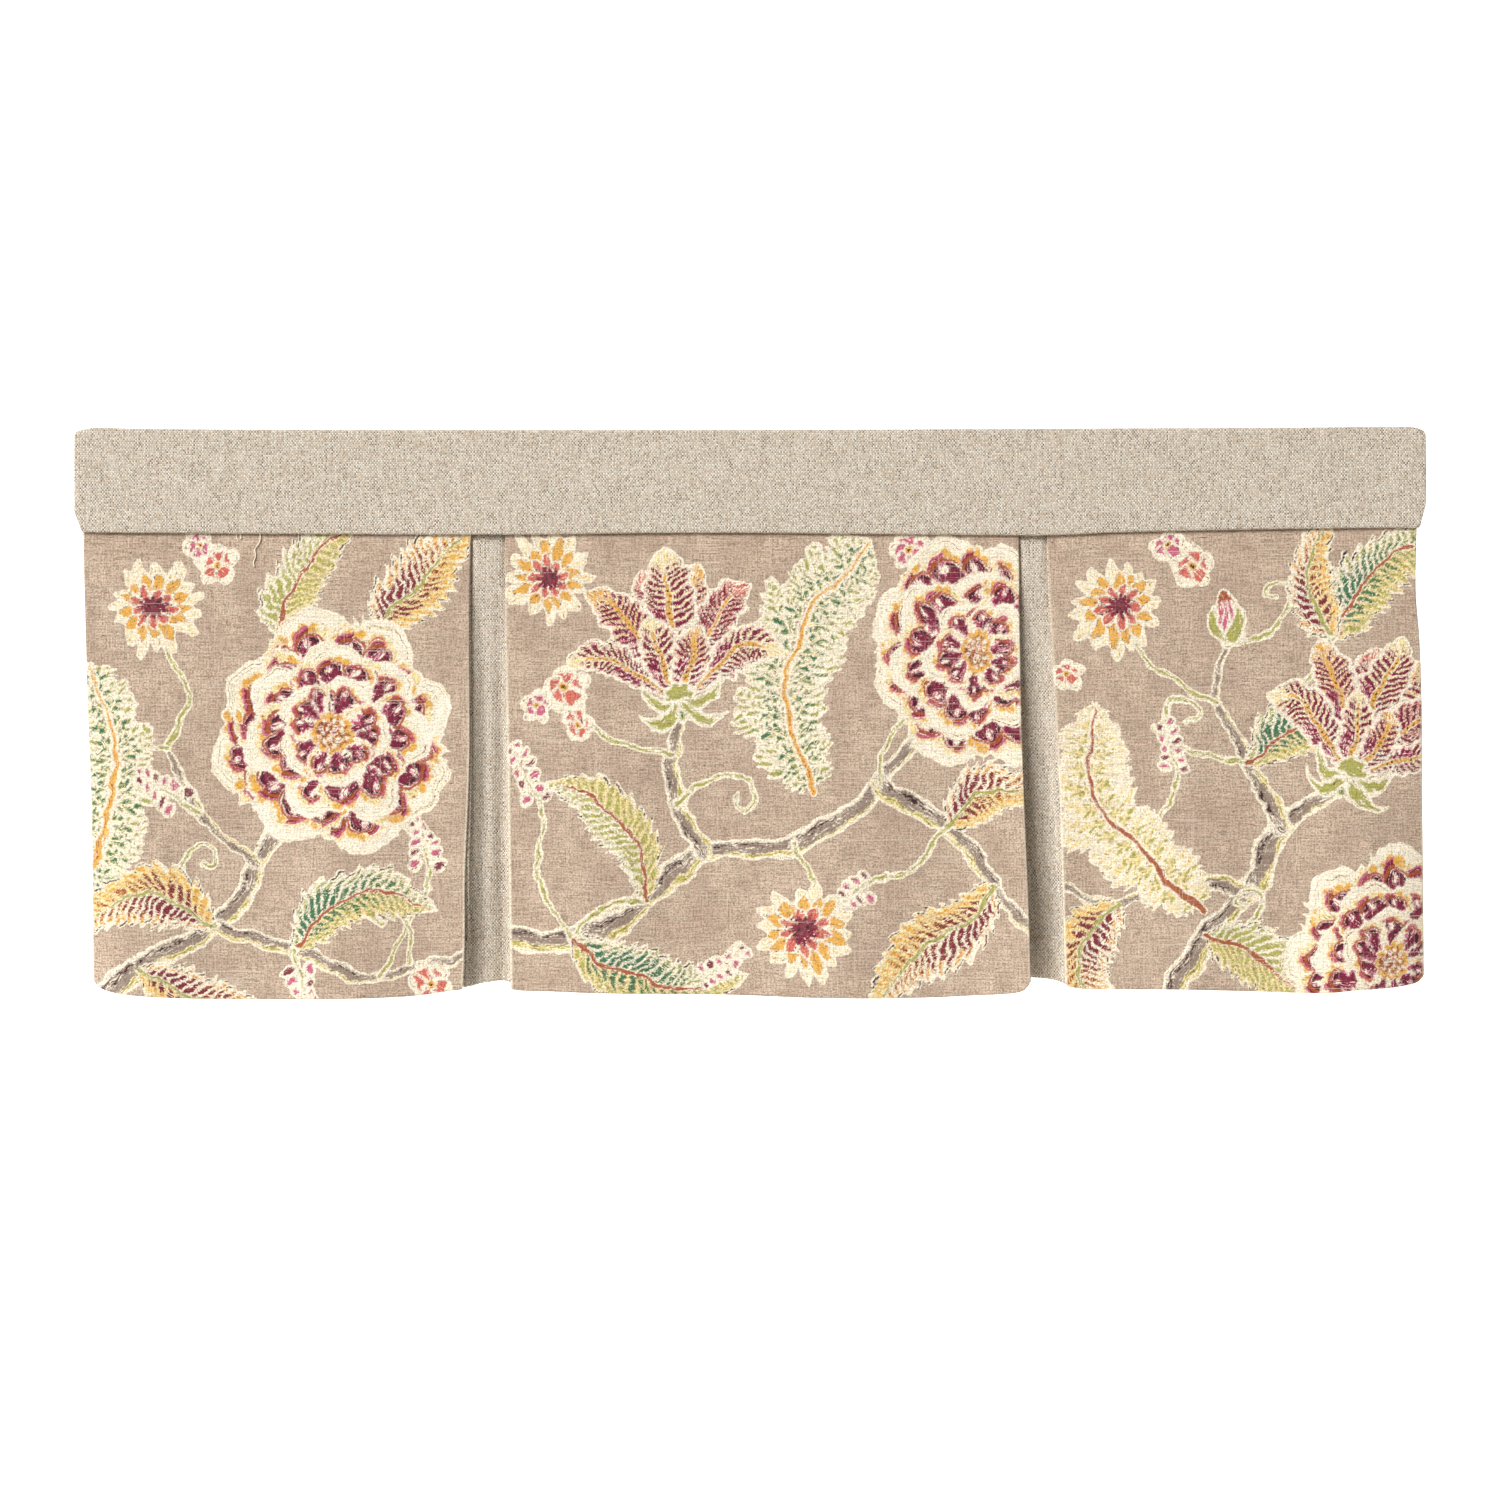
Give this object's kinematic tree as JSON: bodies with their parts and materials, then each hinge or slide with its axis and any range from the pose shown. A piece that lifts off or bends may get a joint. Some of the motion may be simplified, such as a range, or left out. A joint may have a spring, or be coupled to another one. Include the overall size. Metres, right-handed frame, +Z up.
{
  "type": "window valance",
  "caption": "Flat window valance: an oatmeal woven heading band over a printed skirt with inverted pleats whose inserts are oatmeal cloth.",
  "frame": {"origin": "middle of the heading band's top edge, where the valance is held", "axes": "+X to the viewer's right along the heading, +Y away from the room, +Z up"},
  "size_m": [1.2714, 0.0243, 0.5384],
  "materials": {
    "heading_band": "coarse slubby oatmeal weave, matt",
    "panel_left": "taupe plain weave with a floral print, matt",
    "panel_centre": "taupe plain weave with a floral print, matt",
    "panel_right": "taupe plain weave with a floral print, matt",
    "pleat_insert_left": "coarse slubby oatmeal weave, matt",
    "pleat_insert_right": "coarse slubby oatmeal weave, matt"
  },
  "bodies": {
    "root": {"heading_band": "heading_band", "panel_left": "panel_left", "panel_centre": "panel_centre", "panel_right": "panel_right", "pleat_insert_left": "pleat_insert_left", "pleat_insert_right": "pleat_insert_right"}
  },
  "joints": []
}
